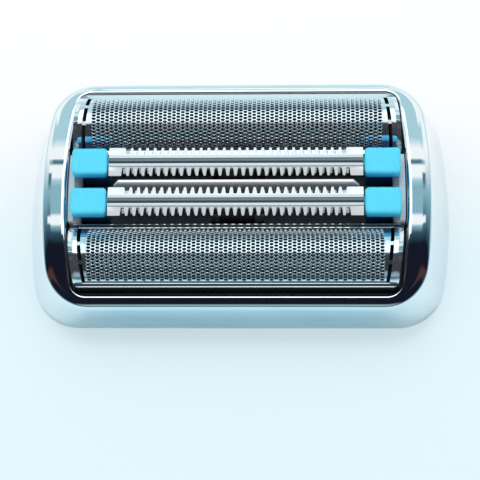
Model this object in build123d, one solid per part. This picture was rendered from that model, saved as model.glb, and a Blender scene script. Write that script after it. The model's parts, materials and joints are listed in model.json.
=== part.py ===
from build123d import *
import math
import os

# Foil shaving head: a plated frame that clips onto a shaver. It holds two sprung foils over
# oscillating blade blocks and, between them, two sprung comb trimmers and a skin guard.
# Millimetres. +X runs along the head, +Y to the rear, +Z out of the shaving side.
# The origin is the middle of the frame's foot. Rear pieces are modelled, front ones mirrored.

# Foils: perforated sheet bent to an arch, with a straight leg along each long edge
FOIL_LENGTH = 42.6
FOIL_RADIUS = 4.2
FOIL_HALF_ANGLE = 72.5
FOIL_THICKNESS = 0.15
FOIL_LEG = 1.8
FOIL_CREST_HEIGHT = 14.4
HOLE_LENGTH = 2.4
HOLE_WIDTH = 0.55
HOLE_COLUMN_PITCH = 3.2
HOLE_ROW_PITCH = 1.4
HOLE_ROWS = 6
HOLE_MARGIN = 1.6
TONGUE_WIDTH = 0.55
TONGUE_OUTER_ANGLE = 25.0
TONGUE_INNER_ANGLE = -12.0

# Foil frames: two cheeks joined by a rail along each long edge of the foil
CHEEK_GAP = 0.5
CHEEK_WIDTH = 1.25
CHEEK_PROUD = 0.12
CHEEK_CORNER = 0.6
RAIL_WIDTH = 0.6
FLANGE_REACH = 0.8
FLANGE_WIDTH = 5.0
FLANGE_THICKNESS = 1.2
LEDGE_REACH = 2.0
LEDGE_THICKNESS = 1.0

# Blade blocks under the foils
BLADE_PITCH = 1.9
BLADE_THICKNESS = 0.3
BLADE_CLEARANCE = 0.1
BLADE_HALF_ANGLE = 50.0
BLADE_END_SETBACK = 2.1
BLADE_FOOT_DROP = 0.8
CARRIER_WIDTH = 6.4
CARRIER_OVERHANG = 0.4
CUTTER_STROKE = 1.0
CUTTER_BOSS_RADIUS = 2.3
CUTTER_SOCKET_RADIUS = 1.25
CUTTER_SOCKET_DEPTH = 3.0

# Trimmers: a folded guard comb, a moving comb on a slider, and a cap at each end
GUARD_TOP = 15.1
GUARD_SPAN = 4.2
GUARD_DROP = 0.45
GUARD_THICKNESS = 0.3
RAIL_SPAN = 1.7
GROOVE_WIDTH = 0.75
GROOVE_DEPTH = 0.14
GUARD_TEETH_PITCH = 1.08
COMB_TEETH_PITCH = 1.1
GUARD_END_TAB = 1.65
COMB_END_TAB = 0.5
SLOT_ROOT_WIDTH = 0.42
SLOT_TIP_WIDTH = 0.82
SLOT_ROOT_SETBACK = 0.15
COMB_THICKNESS = 0.25
COMB_CLEARANCE = 0.08
COMB_SETBACK = 0.3
COMB_STROKE = 0.8
COMB_END_CLEARANCE = 0.1
SLIDER_WIDTH = 1.5
SLIDER_HEIGHT = 1.5
SLIDER_STEM_WIDTH = 2.4
SLIDER_STEM_LENGTH = 5.0
SLIDER_SOCKET_RADIUS = 0.8
SLIDER_SOCKET_DEPTH = 2.5

# Trimmer caps: a rounded head on a narrower neck and a stem that slides in the chassis
CAP_LENGTH = 5.0
CAP_END_SETBACK = 0.55
CAP_WIDTH = 3.75
CAP_GAP = 2.11
CAP_FOIL_GAP = 0.405
CAP_INNER_GAP = 0.2
CAP_PROUD = 0.15
CAP_UNDERCUT = 1.1
CAP_NECK_HEIGHT = 1.9
CAP_CORNER = 0.6
CAP_EDGE = 0.25
CAP_STEM_WIDTH = 1.6
CAP_STEM_SETBACK = 0.4
CAP_FOOT_LENGTH = 1.1
CAP_FOOT_WIDTH = 1.4
CAP_FOOT_HEIGHT = 1.2

# Skin guard: a thin strip standing in the chassis rib
SKIN_GUARD_END_SETBACK = 1.4
SKIN_GUARD_FLARE = 0.9
SKIN_GUARD_FLARE_HEIGHT = 2.0
SKIN_GUARD_THICKNESS = 0.35
SKIN_GUARD_SEAT_DEPTH = 1.5
SKIN_GUARD_BELOW_GUARD = 0.2

# Outer frame
END_RADIUS = 100.0
WALL_END_RADIUS = 65.0
OPENING_END_GAP = 0.42
OPENING_SIDE_GAP = 0.75
OPENING_CORNER = 2.0
RIM_BAND_END = 3.35
RIM_BAND_SIDE = 1.55
SKIRT_FLARE_END = 3.7
SKIRT_FLARE_SIDE = 0.75
WALL_CORNER = 7.0
INNER_CORNER = 3.4
FRAME_WALL = 1.25
ROOF_WALL = 1.3
ROOF_RADIUS = 50.0
ROOF_BELOW_CREST = 1.7
RIM_FILLET = 1.6
RIM_INNER_EDGE = 0.5
CATCH_REACH = 0.9
CATCH_WIDTH = 8.0
CATCH_HEIGHT = 1.0
CATCH_FOOT = 1.6

# Chassis, end plates and retainer plate
FIT = 0.12
FRAME_CLEARANCE = 0.15
DECK_THICKNESS = 0.9
CHASSIS_WALL = 0.8
CHASSIS_CORNER = 2.5
PARTITION = 0.6
RIB_WIDTH = 1.3
RIB_RISE = 1.6
END_PLATE_RISE = 1.55
END_PLATE_WIDTH = 10.0
END_PLATE_GAP = 0.12
BAY_END_GAP = 0.3
RETAINER_THICKNESS = 0.9
SLOT_MARGIN = 0.6

# Leaf springs and the travel they allow
FLOAT_TRAVEL = 1.0
SPRING_HEIGHT = 1.2
SPRING_THICKNESS = 0.15
SPRING_WIDTH = 1.6
SPRING_FOOT = 0.7
FOIL_SPRING_LENGTH = 6.0
TRIMMER_SPRING_LENGTH = 3.2

# Heights, from the foot up
foil_axis_z = FOIL_CREST_HEIGHT - FOIL_RADIUS
roof_crest = FOIL_CREST_HEIGHT - ROOF_BELOW_CREST
wall_top = roof_crest + 0.3

# Places across the head
foil_half_angle = math.radians(FOIL_HALF_ANGLE)
foil_half_width = FOIL_RADIUS * math.sin(foil_half_angle)
foil_edge_z = foil_axis_z + FOIL_RADIUS * math.cos(foil_half_angle)
foil_frame_half = foil_half_width + RAIL_WIDTH
trimmer_y = (CAP_GAP + CAP_WIDTH) / 2
foil_y = trimmer_y + CAP_WIDTH / 2 + CAP_FOIL_GAP + foil_frame_half


def end_sag(y, radius=END_RADIUS):
    """How far an end arc of the head lies inside its middle, at a distance y from the middle."""
    return radius - math.sqrt(radius**2 - y**2)


# Places along the head, each measured on the head's middle line
foil_end = FOIL_LENGTH / 2 + end_sag(foil_y)
cheek_inner = foil_end + CHEEK_GAP
cheek_outer = cheek_inner + CHEEK_WIDTH
opening_half_length = cheek_outer + OPENING_END_GAP
opening_half_width = foil_y + foil_frame_half + OPENING_SIDE_GAP
rim_half_length = opening_half_length + RIM_BAND_END
rim_half_width = opening_half_width + RIM_BAND_SIDE
foot_half_length = rim_half_length + SKIRT_FLARE_END
foot_half_width = rim_half_width + SKIRT_FLARE_SIDE
chassis_half_width = opening_half_width + 0.1
deck_top = roof_crest - end_sag(chassis_half_width, ROOF_RADIUS) - ROOF_WALL - FIT
deck_bottom = deck_top - DECK_THICKNESS
flange_top = deck_bottom - FIT
float_bottom = flange_top - FLANGE_THICKNESS
retainer_top = float_bottom - SPRING_HEIGHT
retainer_bottom = retainer_top - RETAINER_THICKNESS
cap_outer = cheek_outer - CAP_END_SETBACK
cap_inner = cap_outer - CAP_LENGTH
guard_half = cap_inner - CAP_INNER_GAP
cap_foot_tip = guard_half - CAP_FOOT_LENGTH
comb_half = cap_foot_tip - COMB_STROKE - COMB_END_CLEARANCE
skin_guard_half = guard_half - SKIN_GUARD_END_SETBACK
cap_top = GUARD_TOP + CAP_PROUD
stem_outer = cap_outer - CAP_UNDERCUT
bay_end = stem_outer + BAY_END_GAP
end_plate_top = deck_top + END_PLATE_RISE
neck_bottom = end_plate_top + FIT + FLOAT_TRAVEL - BAY_END_GAP
head_bottom = neck_bottom + CAP_NECK_HEIGHT
end_plate_crest = head_bottom - FLOAT_TRAVEL - FIT
blade_radius = FOIL_RADIUS - FOIL_THICKNESS - BLADE_CLEARANCE
carrier_top = foil_axis_z - BLADE_FOOT_DROP
ledge_top = float_bottom + LEDGE_THICKNESS
blade_steps = int((FOIL_LENGTH / 2 - BLADE_END_SETBACK) / BLADE_PITCH)
carrier_half = blade_steps * BLADE_PITCH + CARRIER_OVERHANG
socket_mouth = retainer_top + 0.4


def prism(face, low, high):
    """Upright solid on a plan face, from one height to another."""
    return extrude(Pos(0, 0, low) * face, high - low, dir=(0, 0, 1))


def along(face, half_length):
    """Solid on a cross-section (y, z) of the head, reaching the same way to both ends."""
    return extrude(Plane.YZ * face, half_length, both=True)


def block(x_low, x_high, y_low, y_high, low, high):
    """Plain block between two corners."""
    middle = ((x_low + x_high) / 2, (y_low + y_high) / 2, (low + high) / 2)
    return Pos(*middle) * Box(x_high - x_low, y_high - y_low, high - low)


def strip_between(half_length, y_low, y_high):
    """Plan face between two lines along the head, its ends on the head's end arcs."""

    def end(y):
        return half_length - end_sag(y)

    y_middle = (y_low + y_high) / 2
    right = ThreePointArc((end(y_low), y_low), (end(y_middle), y_middle), (end(y_high), y_high))
    left = ThreePointArc((-end(y_high), y_high), (-end(y_middle), y_middle), (-end(y_low), y_low))
    return make_face([right, Line(right @ 1, left @ 0), left, Line(left @ 1, right @ 0)])


def flared_block(inset):
    """Solid that fills the frame's flared sides and bulged ends up to its top, moved in by inset."""
    wide = foot_half_width - inset
    narrow = wide - SKIRT_FLARE_SIDE
    section = Polyline((-wide, 0), (wide, 0), (narrow, wall_top), (-narrow, wall_top), close=True)
    body = along(make_face(section), 2 * foot_half_length)
    radius = WALL_END_RADIUS - inset
    bottom_middle = (Align.CENTER, Align.CENTER, Align.MIN)
    end = Cone(radius, radius - SKIRT_FLARE_END, wall_top, align=bottom_middle)
    for side in (-1, 1):
        body &= Pos(side * (foot_half_length - WALL_END_RADIUS), 0, 0) * end
    return body


def upright_corners(body):
    """The four edges where the sides of a flared block meet its ends."""
    box = body.bounding_box()
    tall = [e for e in body.edges() if e.bounding_box().size.Z > 0.9 * box.size.Z]
    return [e for e in tall if abs(e.center().Y) > box.max.Y / 2]


def inner_block(low, high, inset, corner):
    """Slice of a flared block for the inside of the frame, its corners cut off flat."""
    body = flared_block(inset)
    body = chamfer(upright_corners(body), corner)
    return body & block(-foot_half_length, foot_half_length, -foot_half_width, foot_half_width, low, high)


def roof(drop):
    """Long barrel whose top is the frame's arched roof, lowered by drop."""
    length = 3 * foot_half_length
    return Pos(0, 0, roof_crest - ROOF_RADIUS - drop) * Rot(0, 90, 0) * Cylinder(ROOF_RADIUS, length)


def folded_sheet(points, thickness):
    """Section of sheet folded along points that run left to right, its thickness below them."""
    normals = []
    for (y0, z0), (y1, z1) in zip(points, points[1:]):
        length = math.hypot(y1 - y0, z1 - z0)
        normals.append(((z1 - z0) / length, -(y1 - y0) / length))
    under = []
    for i, (y, z) in enumerate(points):
        before = normals[max(i - 1, 0)]
        after = normals[min(i, len(normals) - 1)]
        mitre = thickness / (1 + before[0] * after[0] + before[1] * after[1])
        under.append((y + (before[0] + after[0]) * mitre, z + (before[1] + after[1]) * mitre))
    return make_face(Polyline(*points, *reversed(under), close=True))


def outer_frame():
    """Plated frame: flared skirt, arched roof with a rounded rim, and a catch rib in each end."""
    wall = flared_block(0)
    shell = fillet(upright_corners(wall), WALL_CORNER) & roof(0)
    shell = fillet(roof_face(shell).outer_wire().edges(), RIM_FILLET)
    cavity = inner_block(0, wall_top, FRAME_WALL, INNER_CORNER) & roof(ROOF_WALL)
    frame = shell - cavity - prism(opening_face(), 0, wall_top + 1)
    frame = chamfer(roof_face(frame).inner_wires()[0].edges(), RIM_INNER_EDGE)
    wall_x = foot_half_length - SKIRT_FLARE_END * CATCH_FOOT / wall_top
    catch_y, catch_top = CATCH_WIDTH / 2, CATCH_FOOT + CATCH_HEIGHT
    for side in (-1, 1):
        tip, root = wall_x - FRAME_WALL - CATCH_REACH, wall_x - FRAME_WALL / 2
        low, high = sorted((side * tip, side * root))
        frame += block(low, high, -catch_y, catch_y, CATCH_FOOT, catch_top)
    return frame


def roof_face(body):
    """The arched face on top of the frame."""
    return body.faces().filter_by(GeomType.CYLINDER).sort_by(Axis.Z)[-1]


def opening_face():
    """Plan face of the opening in the frame's roof, with bulged ends and rounded corners."""
    face = strip_between(opening_half_length, -opening_half_width, opening_half_width)
    return fillet(face.vertices(), OPENING_CORNER)


def foil():
    """Perforated sheet over a blade block, with two hook tongues at each end."""
    inner = FOIL_RADIUS - FOIL_THICKNESS
    leg_z = foil_edge_z - FOIL_LEG
    sides = []
    for radius in (FOIL_RADIUS, inner):
        y = radius * math.sin(foil_half_angle)
        z = foil_axis_z + radius * math.cos(foil_half_angle)
        arch = ThreePointArc((foil_y - y, z), (foil_y, foil_axis_z + radius), (foil_y + y, z))
        sides.append((Line((foil_y - y, leg_z), arch @ 0), arch, Line(arch @ 1, (foil_y + y, leg_z))))
    (out_a, out_b, out_c), (in_a, in_b, in_c) = sides
    feet = [Line(out_a @ 0, in_a @ 0), Line(out_c @ 1, in_c @ 1)]
    sheet = along(make_face([out_a, out_b, out_c, in_a, in_b, in_c, *feet]), cheek_outer)
    body = prism(strip_between(foil_end, 0, 2 * foil_y), 0, 2 * FOIL_CREST_HEIGHT)
    blank = sheet & body
    for angle in (TONGUE_OUTER_ANGLE, TONGUE_INNER_ANGLE):
        blank += foil_tongues(sheet, math.radians(angle))
    return blank - [hole for hole in foil_holes()]


def foil_tongues(sheet, angle):
    """The pair of tongues, one at each end, that hook the sheet to its cheeks."""
    y = foil_y + FOIL_RADIUS * math.sin(angle)
    reach = strip_between(cheek_inner, y - TONGUE_WIDTH / 2, y + TONGUE_WIDTH / 2)
    root = strip_between(foil_end - TONGUE_WIDTH, y - TONGUE_WIDTH / 2, y + TONGUE_WIDTH / 2)
    return sheet & prism(reach - root, foil_axis_z, 2 * FOIL_CREST_HEIGHT)


def foil_holes():
    """Cutters for the slots, in staggered columns over the arch."""
    depth = 5 * FOIL_THICKNESS
    cutter = Box(HOLE_LENGTH, HOLE_WIDTH, depth)
    columns = int((FOIL_LENGTH / 2 - HOLE_MARGIN) / HOLE_COLUMN_PITCH)
    for column in range(-columns, columns + 1):
        rows = HOLE_ROWS - column % 2
        for row in range(rows):
            angle = (row - (rows - 1) / 2) * HOLE_ROW_PITCH / FOIL_RADIUS
            tilt = Rot(math.degrees(-angle), 0, 0)
            arch = Pos(0, 0, FOIL_RADIUS) * cutter
            yield Pos(column * HOLE_COLUMN_PITCH, foil_y, foil_axis_z) * tilt * arch


def foil_frame():
    """Plated carrier of a foil: a cheek at each end, a rail at each side, and a stop flange."""
    y_low, y_high = foil_y - foil_frame_half, foil_y + foil_frame_half
    cheek_radius = FOIL_RADIUS + CHEEK_PROUD
    top = foil_axis_z + cheek_radius + 1
    section = Pos(foil_y, foil_axis_z) * Circle(cheek_radius)
    section += Pos(foil_y, foil_edge_z / 2) * Rectangle(2 * foil_frame_half, foil_edge_z)
    plan = strip_between(cheek_outer, y_low, y_high)
    plan = fillet(plan.vertices(), CHEEK_CORNER)
    body = prism(plan, float_bottom, top) & along(section, cheek_outer)
    window_face = strip_between(cheek_inner, foil_y - foil_half_width, foil_y + foil_half_width)
    flange_low, flange_high = foil_y - FLANGE_WIDTH / 2, foil_y + FLANGE_WIDTH / 2
    flange_face = strip_between(cheek_outer + FLANGE_REACH, flange_low, flange_high)
    body += prism(flange_face, float_bottom, flange_top)
    body -= prism(window_face, 0, top)
    body -= prism(strip_between(cheek_inner, 0, 2 * foil_y), foil_edge_z, top)
    ledge_face = window_face - strip_between(cheek_inner - LEDGE_REACH, 0, 2 * foil_y)
    return body + prism(ledge_face, float_bottom, ledge_top)


def cutter_blades():
    """Arched blades, side by side along the foil, each standing on the carrier."""
    angle = math.radians(BLADE_HALF_ANGLE)
    side = blade_radius * math.sin(angle)
    shoulder = foil_axis_z + blade_radius * math.cos(angle)
    crest = (foil_y, foil_axis_z + blade_radius)
    arch = ThreePointArc((foil_y - side, shoulder), crest, (foil_y + side, shoulder))
    legs = Polyline(arch @ 0, (foil_y - side, carrier_top), (foil_y + side, carrier_top), arch @ 1)
    blade = along(make_face([arch, *legs.edges()]), BLADE_THICKNESS / 2)
    places = [i * BLADE_PITCH for i in range(-blade_steps, blade_steps + 1)]
    return Compound([Pos(x, 0, 0) * blade for x in places])


def cutter_carrier():
    """Bar under the blades, with a socket for the shaver's drive pin."""
    y_low, y_high = foil_y - CARRIER_WIDTH / 2, foil_y + CARRIER_WIDTH / 2
    bottom = ledge_top + FIT
    bar = block(-carrier_half, carrier_half, y_low, y_high, bottom, carrier_top)
    boss = Pos(0, foil_y, socket_mouth) * Cylinder(
        CUTTER_BOSS_RADIUS, bottom - socket_mouth, align=(Align.CENTER, Align.CENTER, Align.MIN)
    )
    return bar + boss - socket(foil_y, CUTTER_SOCKET_RADIUS, CUTTER_SOCKET_DEPTH)


def socket(y, radius, depth):
    """Cutter for a drive socket that opens downwards."""
    return Pos(0, y, socket_mouth) * Cylinder(radius, depth, align=(Align.CENTER, Align.CENTER, Align.MIN))


def guard_points():
    """Folds of the guard comb from one row of tips to the other, about the trimmer's middle."""
    rail, groove, tip = RAIL_SPAN / 2, GROOVE_WIDTH / 2, GUARD_SPAN / 2
    right = [
        (groove, GUARD_TOP - GROOVE_DEPTH),
        (groove, GUARD_TOP),
        (rail, GUARD_TOP),
        (tip, GUARD_TOP - GUARD_DROP),
    ]
    return [(-y, z) for y, z in reversed(right)] + right


def comb_points():
    """Folds of the moving comb, which lies inside the guard at a clearance."""
    rail, tip = RAIL_SPAN / 2, GUARD_SPAN / 2
    length = math.hypot(tip - rail, GUARD_DROP)
    slope_y, slope_z = (tip - rail) / length, -GUARD_DROP / length
    inward = GUARD_THICKNESS + COMB_CLEARANCE
    start_y, start_z = rail + slope_z * inward, GUARD_TOP - slope_y * inward
    top = comb_top()
    shoulder_y = start_y + slope_y * (top - start_z) / slope_z
    reach = length - COMB_SETBACK
    right = [(shoulder_y, top), (start_y + slope_y * reach, start_z + slope_z * reach)]
    return [(-y, z) for y, z in reversed(right)] + right


def comb_top():
    """Height of the moving comb's back, just under the guard's groove."""
    return GUARD_TOP - GROOVE_DEPTH - GUARD_THICKNESS - COMB_CLEARANCE


def teeth_slots(pitch, reach):
    """Tapered cutters for the gaps between teeth, out to reach at both ends of the trimmer.

    The rear row stands half a pitch off the front one.
    """
    root_y, tip_y = RAIL_SPAN / 2 + SLOT_ROOT_SETBACK, GUARD_SPAN / 2 + SLOT_ROOT_SETBACK
    root, tip = SLOT_ROOT_WIDTH / 2, SLOT_TIP_WIDTH / 2
    outline = [(-root, root_y), (root, root_y), (tip, tip_y), (-tip, tip_y)]
    low = GUARD_TOP - GUARD_DROP - 2 * GUARD_THICKNESS - 2 * COMB_THICKNESS
    gap = prism(make_face(Polyline(*outline, close=True)), low, GUARD_TOP + 1)
    for row, first in ((gap, 0.0), (mirror(gap, Plane.XZ), pitch / 2)):
        offsets = [first + i * pitch for i in range(int((reach - first) / pitch) + 1)]
        for x in sorted({side * x for x in offsets for side in (-1, 1)}):
            yield Pos(x, trimmer_y, 0) * row


def trimmer_guard():
    """Fixed comb of a trimmer: folded sheet with a groove along its back and teeth on both sides."""
    channel = Pos(0, trimmer_y, 0) * along(folded_sheet(guard_points(), GUARD_THICKNESS), guard_half)
    return channel - list(teeth_slots(GUARD_TEETH_PITCH, guard_half - GUARD_END_TAB))


def trimmer_comb():
    """Moving comb of a trimmer, with teeth of a slightly wider pitch."""
    channel = Pos(0, trimmer_y, 0) * along(folded_sheet(comb_points(), COMB_THICKNESS), comb_half)
    return channel - list(teeth_slots(COMB_TEETH_PITCH, comb_half - COMB_END_TAB))


def trimmer_slider():
    """Bar that carries the moving comb, with a stem and a socket for the shaver's drive pin."""
    top = comb_top() - COMB_THICKNESS
    bottom = top - SLIDER_HEIGHT
    half_x, half_y = comb_half - COMB_END_TAB, SLIDER_WIDTH / 2
    bar = block(-half_x, half_x, trimmer_y - half_y, trimmer_y + half_y, bottom, top)
    stem_x, stem_y = SLIDER_STEM_LENGTH / 2, SLIDER_STEM_WIDTH / 2
    bar += block(-stem_x, stem_x, trimmer_y - stem_y, trimmer_y + stem_y, socket_mouth, bottom)
    return bar - socket(trimmer_y, SLIDER_SOCKET_RADIUS, SLIDER_SOCKET_DEPTH)


def trimmer_cap():
    """Cap at the right-hand end of a trimmer: head, stem with a stop flange, and a foot under the guard."""
    y_low, y_high = trimmer_y - CAP_WIDTH / 2, trimmer_y + CAP_WIDTH / 2
    head = block(cap_inner, cap_outer, y_low, y_high, head_bottom, cap_top)
    head = fillet(head.edges().filter_by(Axis.Z), CAP_CORNER)
    head = chamfer(head.faces().sort_by(Axis.Z)[-1].edges(), CAP_EDGE)
    stem_inner = cap_inner + CAP_STEM_SETBACK
    side = Polyline(
        (stem_inner, head_bottom),
        (cap_outer - CAP_EDGE, head_bottom),
        (stem_outer, neck_bottom),
        (stem_outer, float_bottom),
        (stem_inner, float_bottom),
        close=True,
    )
    neck = extrude(Plane.XZ * make_face(side), CAP_STEM_WIDTH / 2, both=True)
    stem_low, stem_high = trimmer_y - CAP_STEM_WIDTH / 2, trimmer_y + CAP_STEM_WIDTH / 2
    cap = head + Pos(0, trimmer_y, 0) * neck
    flange_end = stem_outer + FLANGE_REACH
    cap += block(stem_inner, flange_end, stem_low, stem_high, float_bottom, flange_top)
    foot_top = GUARD_TOP - GROOVE_DEPTH - GUARD_THICKNESS
    foot_low, foot_high = trimmer_y - CAP_FOOT_WIDTH / 2, trimmer_y + CAP_FOOT_WIDTH / 2
    return cap + block(cap_foot_tip, cap_inner, foot_low, foot_high, foot_top - CAP_FOOT_HEIGHT, foot_top)


def skin_guard():
    """Strip between the trimmers, longer at its foot than at its top edge."""
    top = GUARD_TOP - SKIN_GUARD_BELOW_GUARD
    foot = deck_top + RIB_RISE - SKIN_GUARD_SEAT_DEPTH
    wide = skin_guard_half + SKIN_GUARD_FLARE
    flare_z = top - SKIN_GUARD_FLARE_HEIGHT
    right = [(wide, foot), (wide, flare_z), (skin_guard_half, top)]
    left = [(-x, z) for x, z in reversed(right)]
    outline = Polyline(*right, *left, close=True)
    return extrude(Plane.XZ * make_face(outline), SKIN_GUARD_THICKNESS / 2, both=True)


def chassis():
    """Moulding that fills the frame: a deck with a bay for each floating piece, and walls below it."""
    inset = FRAME_WALL + FRAME_CLEARANCE
    body = inner_block(retainer_top, deck_top, inset, INNER_CORNER)
    body -= inner_block(retainer_top, deck_bottom, inset + CHASSIS_WALL, CHASSIS_CORNER)
    foil_low, foil_high = foil_y - foil_frame_half - FIT, foil_y + foil_frame_half + FIT
    bay_low, bay_high = RIB_WIDTH / 2, foil_low - PARTITION
    top = roof_crest
    for side in (-1, 1):
        partition_low, partition_high = sorted((side * bay_high, side * foil_low))
        body += block(-bay_end, bay_end, partition_low, partition_high, retainer_top, deck_top)
    body += block(-bay_end, bay_end, -bay_low, bay_low, retainer_top, deck_top + RIB_RISE)
    for side in (-1, 1):
        window = prism(strip_between(cheek_outer + FIT, foil_low, foil_high), deck_bottom, top)
        body -= window if side > 0 else mirror(window, Plane.XZ)
        low, high = sorted((side * bay_low, side * bay_high))
        body -= block(-bay_end, bay_end, low, high, deck_bottom, top)
    slot_half = skin_guard_half + SKIN_GUARD_FLARE + FIT
    slot_y = SKIN_GUARD_THICKNESS / 2 + 0.03
    seat = deck_top + RIB_RISE - SKIN_GUARD_SEAT_DEPTH
    return body - block(-slot_half, slot_half, -slot_y, slot_y, seat, top)


def end_plate():
    """Plate at the right-hand end: level beside the rim, sloping down under the trimmer caps."""
    half = END_PLATE_WIDTH / 2
    slope = (cap_outer - CAP_EDGE - stem_outer) / CAP_NECK_HEIGHT
    shoulder = bay_end + (end_plate_crest - end_plate_top) * slope
    side = Polyline(
        (bay_end, deck_top),
        (bay_end, end_plate_top),
        (shoulder, end_plate_crest),
        (opening_half_length, end_plate_crest),
        (opening_half_length, deck_top),
        close=True,
    )
    plate = extrude(Plane.XZ * make_face(side), half, both=True)
    return plate & prism(strip_between(opening_half_length - END_PLATE_GAP, -half, half), 0, roof_crest)


def retainer_plate():
    """Plate that closes the chassis from below, with a slot round each drive socket."""
    plate = inner_block(retainer_bottom, retainer_top, FRAME_WALL + FRAME_CLEARANCE, INNER_CORNER)
    cutter_x = CUTTER_BOSS_RADIUS + CUTTER_STROKE + SLOT_MARGIN
    cutter_y = CUTTER_BOSS_RADIUS + SLOT_MARGIN
    slider_x = SLIDER_STEM_LENGTH / 2 + COMB_STROKE + SLOT_MARGIN
    slider_y = SLIDER_STEM_WIDTH / 2 + SLOT_MARGIN / 2
    for side in (-1, 1):
        for y, half_x, half_y in ((foil_y, cutter_x, cutter_y), (trimmer_y, slider_x, slider_y)):
            middle = side * y
            plate -= block(-half_x, half_x, middle - half_y, middle + half_y, 0, roof_crest)
    return plate


def leaf_spring(length):
    """Bowed strip with two flat feet on the retainer and a flat crown, along Y about the origin."""
    half, foot = length / 2, SPRING_FOOT
    low, high = retainer_top + SPRING_THICKNESS, float_bottom
    right = [(foot / 2, high), (half - foot, low), (half, low)]
    left = [(-y, z) for y, z in reversed(right)]
    return along(folded_sheet(left + right, SPRING_THICKNESS), SPRING_WIDTH / 2)


def foil_springs():
    """The two leaf springs under a foil frame, one below each ledge."""
    x = cheek_inner - end_sag(foil_y) - LEDGE_REACH / 2
    spring = Pos(0, foil_y, 0) * leaf_spring(FOIL_SPRING_LENGTH)
    return Compound([Pos(side * x, 0, 0) * spring for side in (-1, 1)])


def trimmer_springs():
    """The two leaf springs under a trimmer, one below each cap's stem."""
    x = (cap_inner + CAP_STEM_SETBACK + stem_outer) / 2
    spring = Rot(0, 0, 90) * leaf_spring(TRIMMER_SPRING_LENGTH)
    return Compound([Pos(side * x, trimmer_y, 0) * spring for side in (-1, 1)])


def write(name, shape):
    export_step(shape, os.path.join("parts", name + ".step"))


def main():
    os.makedirs("parts", exist_ok=True)
    write("outer_frame", outer_frame())
    write("chassis", chassis())
    write("retainer_plate", retainer_plate())
    write("skin_guard", skin_guard())
    plate = end_plate()
    write("end_plate_right", plate)
    write("end_plate_left", mirror(plate, Plane.YZ))
    paired = {
        "foil": foil,
        "foil_frame": foil_frame,
        "foil_springs": foil_springs,
        "cutter_blades": cutter_blades,
        "cutter_carrier": cutter_carrier,
        "trimmer_slider": trimmer_slider,
        "trimmer_springs": trimmer_springs,
    }
    for name, build in paired.items():
        rear = build()
        write(name + "_rear", rear)
        write(name + "_front", mirror(rear, Plane.XZ))
    for name, build in {"trimmer_guard": trimmer_guard, "trimmer_comb": trimmer_comb}.items():
        rear = build()
        write(name + "_rear", rear)
        write(name + "_front", Pos(0, -2 * trimmer_y, 0) * rear)
    cap = trimmer_cap()
    for row, across in (("rear", cap), ("front", mirror(cap, Plane.XZ))):
        write(f"trimmer_cap_{row}_right", across)
        write(f"trimmer_cap_{row}_left", mirror(across, Plane.YZ))


main()
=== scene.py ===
import json
import math
from functools import partial

import bmesh
import bpy
from mathutils import Matrix, Vector


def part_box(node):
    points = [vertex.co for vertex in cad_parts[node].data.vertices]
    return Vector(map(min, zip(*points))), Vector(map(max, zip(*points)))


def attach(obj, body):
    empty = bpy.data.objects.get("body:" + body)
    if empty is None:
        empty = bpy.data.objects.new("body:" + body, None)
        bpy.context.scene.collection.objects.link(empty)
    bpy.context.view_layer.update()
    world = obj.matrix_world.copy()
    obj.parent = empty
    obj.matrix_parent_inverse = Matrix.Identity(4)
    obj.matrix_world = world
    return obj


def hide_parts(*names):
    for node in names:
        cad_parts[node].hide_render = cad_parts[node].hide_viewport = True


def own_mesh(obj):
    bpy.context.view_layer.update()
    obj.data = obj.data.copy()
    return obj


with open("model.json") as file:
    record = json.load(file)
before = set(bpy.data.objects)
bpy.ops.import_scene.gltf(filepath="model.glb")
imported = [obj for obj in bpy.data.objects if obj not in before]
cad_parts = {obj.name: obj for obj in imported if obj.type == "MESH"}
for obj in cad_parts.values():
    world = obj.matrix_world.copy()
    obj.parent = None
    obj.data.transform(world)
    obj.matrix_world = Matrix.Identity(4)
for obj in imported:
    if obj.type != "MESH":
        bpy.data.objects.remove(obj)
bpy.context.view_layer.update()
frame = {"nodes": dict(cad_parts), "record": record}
frame_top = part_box("outer_frame")[1]

# Foil shaving head, dressed for its photograph. Its length runs along X, and its front is at -Y.
# Lengths are millimetres, and MM turns them into metres.
MM = 0.001

# Outer frame: a flared wall with an arched roof, an opening in the roof, and a catch rib inside each end
WALL_END_RADIUS = 65.0
WALL_CORNER = 7.0
SKIRT_FLARE_END = 3.7
SKIRT_FLARE_SIDE = 0.75
WALL_HEIGHT = 13.0
WALL_THICKNESS = 1.25
ROOF_RADIUS = 50.0
ROOF_THICKNESS = 1.3
RIM_FILLET = 1.6
FOOT_EDGE = 0.15
OPENING_HALF_LENGTH = 23.953
OPENING_HALF_WIDTH = 15.171
OPENING_END_RADIUS = 100.0
OPENING_CORNER = 2.0
OPENING_EDGE = 0.5
# Painted light on the rear wall of the opening: how far it reaches from the wall, and its top
REAR_WALL_LIGHT_REACH = 0.2
REAR_WALL_LIGHT_TOP = 10.1
CATCH_SIZE = (1.5, 8.0, 1.0)
CATCH_FOOT = 1.6

# Steps along each stretch of the frame's section
OPENING_EDGE_STEPS = 5
ROOF_STEPS = 8
RIM_STEPS = 14
WALL_STEPS = 8
INNER_WALL_STEPS = 6
INNER_ROOF_STEPS = 5

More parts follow.
